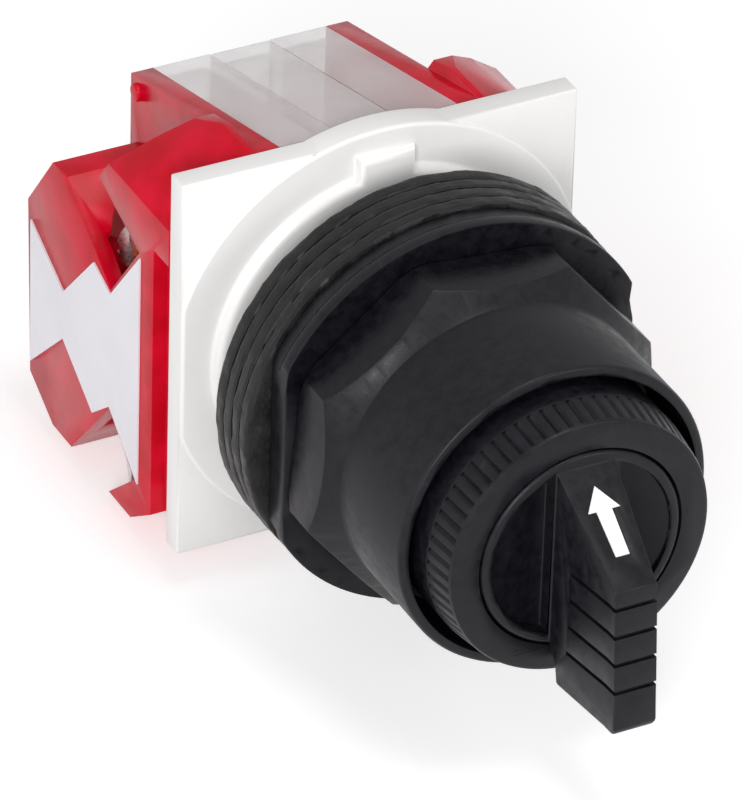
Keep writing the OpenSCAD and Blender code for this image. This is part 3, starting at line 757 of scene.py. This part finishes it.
@dataclass
class ContactBlocks:
    """The two contact blocks behind the plate and what can be seen in them."""

    housing_edge: float = 0.35 * MM
    cover_edge: float = 0.20 * MM
    wall_x: float = 12.5 * MM
    pin_place: tuple[float, float] = (30.2 * MM, 13.9 * MM)
    pin_r: float = 1.0 * MM
    recess_low: Point = (20.6 * MM, 2.0 * MM, -30.0 * MM)
    recess_high: Point = (23.0 * MM, 6.4 * MM, 11.0 * MM)
    tongue_low: Point = (-20.4 * MM, 14.9 * MM, -23.4 * MM)
    tongue_high: Point = (-14.2 * MM, 16.0 * MM, -19.0 * MM)

    def build(self, finishes: Finishes) -> None:
        """Builds the housings and covers and dresses the works inside."""
        for side in ("left", "right"):
            housing = softened_copy(f"{side}_housing", f"{side}_red_housing", self.housing_edge, 2,
                                    cutter=self.recess(side))
            hand_over(housing, Body.FIXED, Slot.RED, finishes, f"{side}_housing")
            cover = softened_copy(f"{side}_cover", f"{side}_clear_cover", self.cover_edge, 2)
            hand_over(cover, Body.FIXED, Slot.CLEAR, finishes, f"{side}_cover")
            self.works(side, finishes)
            self.snap_pin(side, finishes)
            self.clamp_tongue(side, finishes)
        centre = softened_copy("centre_cover", "clear_centre_cover", self.cover_edge, 2)
        hand_over(centre, Body.FIXED, Slot.CLEAR, finishes, "centre_cover")
        finishes.dress_node("side_label", Slot.LABEL)
        finishes.dress_node("block_screws", Slot.STEEL)

    def recess(self, side: str) -> bpy.types.Object:
        """Makes the solid that cuts the set-back strip beside the base plate.

        Args:
            side: left or right.

        Returns:
            A box over the outer front edge of the housing.
        """
        hand = -1.0 if side == "left" else 1.0
        low, high = Vector(self.recess_low), Vector(self.recess_high)
        middle, size = (low + high) / 2.0, high - low
        deselect()
        bpy.ops.mesh.primitive_cube_add(size=1.0, location=(0.0, 0.0, 0.0))
        box = bpy.context.object
        bpy.ops.object.mode_set(mode="EDIT")
        bpy.ops.mesh.select_all(action="SELECT")
        bpy.ops.transform.resize(value=tuple(size))
        bpy.ops.transform.translate(value=(hand * middle.x, middle.y, middle.z))
        bpy.ops.object.mode_set(mode="OBJECT")
        return box

    def snap_pin(self, side: str, finishes: Finishes) -> None:
        """Makes the round pin on the outside of the inner wall, at its upper rear corner.

        Args:
            side: left or right.
            finishes: The finishes.
        """
        hand = -1.0 if side == "left" else 1.0
        deselect()
        bpy.ops.mesh.primitive_cylinder_add(vertices=40, radius=self.pin_r, depth=1.2 * MM)
        pin = bpy.context.object
        bpy.ops.object.mode_set(mode="EDIT")
        bpy.ops.mesh.select_all(action="SELECT")
        bpy.ops.transform.rotate(value=math.pi / 2.0, orient_axis="Y", center_override=(0.0, 0.0, 0.0))
        bpy.ops.transform.translate(value=(hand * (self.wall_x - 0.05 * MM), *self.pin_place))
        bpy.ops.object.mode_set(mode="OBJECT")
        finish_piece(pin, f"{side}_snap_pin", 0.2 * MM)
        hand_over(pin, Body.FIXED, Slot.RED, finishes)

    def clamp_tongue(self, side: str, finishes: Finishes) -> None:
        """Makes the tongue of the wire clamp that shows in the lower slot.

        Args:
            side: left or right.
            finishes: The finishes.
        """
        hand = 1.0 if side == "left" else -1.0
        low, high = Vector(self.tongue_low), Vector(self.tongue_high)
        middle, size = (low + high) / 2.0, high - low
        deselect()
        bpy.ops.mesh.primitive_cube_add(size=1.0, location=(0.0, 0.0, 0.0))
        tongue = bpy.context.object
        bpy.ops.object.mode_set(mode="EDIT")
        bpy.ops.mesh.select_all(action="SELECT")
        bpy.ops.transform.resize(value=tuple(size))
        bpy.ops.transform.rotate(value=math.radians(18.0), orient_axis="X", center_override=(0.0, 0.0, 0.0))
        bpy.ops.transform.translate(value=(hand * middle.x, middle.y, middle.z))
        bpy.ops.object.mode_set(mode="OBJECT")
        finish_piece(tongue, f"{side}_clamp_tongue", 0.3 * MM)
        hand_over(tongue, Body.FIXED, Slot.STEEL, finishes)

    def works(self, side: str, finishes: Finishes) -> None:
        """Dresses the moving and fixed works of one block.

        Args:
            side: left or right.
            finishes: The finishes.
        """
        for part in ("follower", "plunger"):
            finishes.dress_node(f"{side}_{part}", Slot.NATURAL)
        for part in ("bridge", "upper_contact", "lower_contact"):
            finishes.dress_node(f"{side}_{part}", Slot.BRASS)
        for part in ("return_spring", "wire_clamps", "terminal_screws"):
            finishes.dress_node(f"{side}_{part}", Slot.STEEL)


# ---------------------------------------------------------------- studio


@dataclass
class Studio:
    """Floor, backdrop light, lamps and the camera at the photograph's angle."""

    eye: Point = (-315.28 * MM, -590.37 * MM, 438.32 * MM)
    right: Point = (0.8901947, -0.4548033, 0.0265947)
    up: Point = (0.2333914, 0.5053978, 0.8307235)
    ahead: Point = (0.3912567, 0.7332987, -0.5560496)
    lens: float = 353.85
    sensor: float = 36.0
    floor_z: float = -26.39 * MM
    floor_side: float = 6.0
    lamps: tuple[tuple[str, Point, Point, float, float], ...] = (
        ("top_softbox", (0.05, -0.16, 0.60), (0.0, 0.0, 0.0), 0.22, 0.85),
        ("left_softbox", (-0.65, 0.02, 0.22), (0.0, 0.0, 0.0), 0.26, 0.40),
        ("front_softbox", (-0.45, -0.62, 0.34), (0.0, -0.01, 0.0), 0.30, 4.2),
        ("right_fill", (0.35, -0.65, 0.35), (0.0, -0.02, 0.0), 0.25, 1.1),
    )

    def camera(self) -> None:
        """Makes the camera and makes it the scene's."""
        data = bpy.data.cameras.new("photo_camera")
        data.lens = self.lens
        data.sensor_width = self.sensor
        data.clip_start = 0.05
        data.clip_end = 20.0
        camera = bpy.data.objects.new("photo_camera", data)
        bpy.context.scene.collection.objects.link(camera)
        right, up, back = Vector(self.right), Vector(self.up), -Vector(self.ahead)
        turn = Matrix((right, up, back)).transposed().to_4x4()
        camera.matrix_world = Matrix.Translation(Vector(self.eye)) @ turn
        bpy.context.scene.camera = camera

    def floor(self) -> None:
        """Makes the pale floor, which shows white to the camera and keeps the object's shadow."""
        deselect()
        bpy.ops.mesh.primitive_plane_add(size=self.floor_side, location=(0.0, 0.0, self.floor_z))
        floor = bpy.context.object
        floor.name = "pale_floor"
        sheet = NodeSheet("pale_floor")
        seen = self.seen(sheet)
        plain = sheet.add("BsdfDiffuse", Color=(0.80, 0.80, 0.80, 1.0))
        shown = sheet.add("BsdfDiffuse", Color=(0.84, 0.84, 0.85, 1.0))
        glow = sheet.add("Emission", Color=(1.0, 1.0, 1.0, 1.0), Strength=0.46)
        both = sheet.add("AddShader")
        mix = sheet.add("MixShader")
        sheet.link(shown.outputs["BSDF"], both.inputs[0])
        sheet.link(glow.outputs["Emission"], both.inputs[1])
        sheet.link(seen, mix.inputs["Fac"])
        sheet.link(plain.outputs["BSDF"], mix.inputs[1])
        sheet.link(both.outputs["Shader"], mix.inputs[2])
        sheet.link(mix.outputs["Shader"], sheet.output.inputs["Surface"])
        floor.data.materials.append(sheet.material)
        floor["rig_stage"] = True

    def seen(self, sheet: NodeSheet) -> bpy.types.NodeSocket:
        """A value that is 1 for rays from the camera, off gloss and through clear plastic.

        Args:
            sheet: The nodes it is laid out in.

        Returns:
            The socket with the value.
        """
        path = sheet.add("LightPath")
        first = sheet.add("Math", operation="MAXIMUM")
        second = sheet.add("Math", operation="MAXIMUM")
        sheet.link(path.outputs["Is Camera Ray"], first.inputs[0])
        sheet.link(path.outputs["Is Glossy Ray"], first.inputs[1])
        sheet.link(first.outputs["Value"], second.inputs[0])
        sheet.link(path.outputs["Is Transmission Ray"], second.inputs[1])
        return second.outputs["Value"]

    def world(self) -> None:
        """Makes the soft light of the room and the white behind the object."""
        world = bpy.data.worlds.new("white_room")
        world.use_nodes = True
        tree = world.node_tree
        tree.nodes.clear()
        path = tree.nodes.new("ShaderNodeLightPath")
        seen = tree.nodes.new("ShaderNodeMath")
        seen.operation = "MAXIMUM"
        level = tree.nodes.new("ShaderNodeMapRange")
        level.inputs["To Min"].default_value = 0.37
        level.inputs["To Max"].default_value = 1.0
        back = tree.nodes.new("ShaderNodeBackground")
        out = tree.nodes.new("ShaderNodeOutputWorld")
        gloss = tree.nodes.new("ShaderNodeMath")
        gloss.operation = "MAXIMUM"
        tree.links.new(path.outputs["Is Camera Ray"], gloss.inputs[0])
        tree.links.new(path.outputs["Is Glossy Ray"], gloss.inputs[1])
        tree.links.new(gloss.outputs["Value"], seen.inputs[0])
        tree.links.new(path.outputs["Is Transmission Ray"], seen.inputs[1])
        tree.links.new(seen.outputs["Value"], level.inputs["Value"])
        tree.links.new(level.outputs["Result"], back.inputs["Strength"])
        tree.links.new(back.outputs["Background"], out.inputs["Surface"])
        bpy.context.scene.world = world

    def lights(self) -> None:
        """Makes the softboxes."""
        for name, place, target, side, power in self.lamps:
            data = bpy.data.lights.new(name, "AREA")
            data.shape = "SQUARE"
            data.size = side
            data.energy = power
            lamp = bpy.data.objects.new(name, data)
            bpy.context.scene.collection.objects.link(lamp)
            lamp.location = place
            aim = Vector(target) - Vector(place)
            lamp.rotation_euler = aim.to_track_quat("-Z", "Y").to_euler()

    def build(self) -> None:
        """Builds the whole studio."""
        self.camera()
        self.floor()
        self.world()
        self.lights()
        bpy.context.scene.view_settings.view_transform = "Standard"


def write_sizes(before: object, after: object) -> None:
    """Turns the CAD box and the dressed box into plain lists, which are then dropped.
    """
    def plain(box: object) -> list[list[float]]:
        """A box as plain lists."""
        return [[float(v) for v in corner] for corner in box]

    {"cad": plain(before), "scene": plain(after)}


def main() -> None:
    """Loads the frame, builds each sub-assembly in order and reports it."""
    logging.basicConfig(level=logging.INFO, format="%(name)s: %(message)s")
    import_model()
    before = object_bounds()
    Studio().build()
    finishes = Finishes()
    for assembly in (BasePlate(), GasketStack(), Operator(), Knob(), ContactBlocks()):
        assembly.build(finishes)
        LOG.info("%s done", type(assembly).__name__)
    deselect()
    write_sizes(before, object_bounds())


if __name__ == "__main__":
    main()
